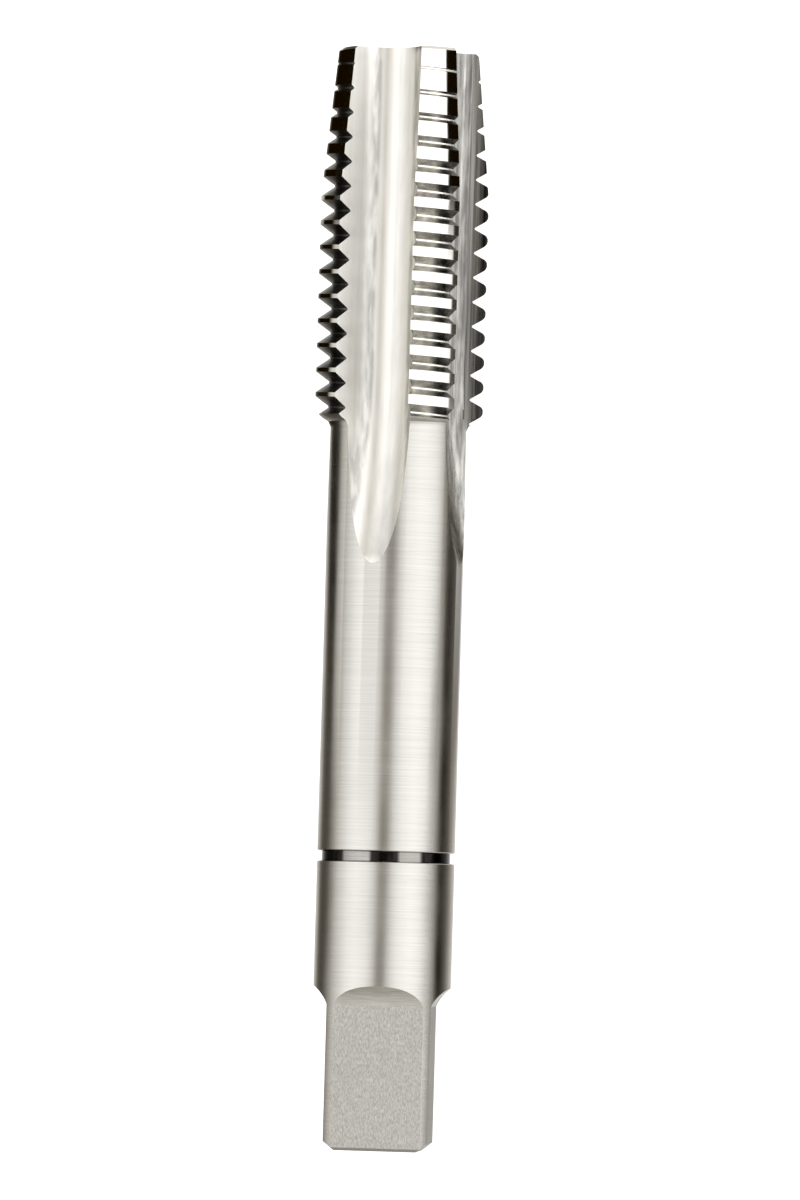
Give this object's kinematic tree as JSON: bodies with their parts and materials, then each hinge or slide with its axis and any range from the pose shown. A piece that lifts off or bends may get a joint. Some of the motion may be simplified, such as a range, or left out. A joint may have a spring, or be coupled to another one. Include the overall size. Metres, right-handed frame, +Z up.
{
  "type": "thread tap",
  "caption": "Hand tap with a left-hand screw thread cut by straight flutes, a tapered lead, a round shank with a ring groove and a driving square.",
  "frame": {"origin": "below the middle of the tap, at the level it lies on", "axes": "+Y along the tap towards the cutting end, +Z up"},
  "size_m": [0.0152, 0.112, 0.0152],
  "materials": {
    "ground_steel": "ground tool steel, satin shank and bright crests"
  },
  "bodies": {
    "root": {"thread_tap": "ground_steel"}
  },
  "joints": []
}
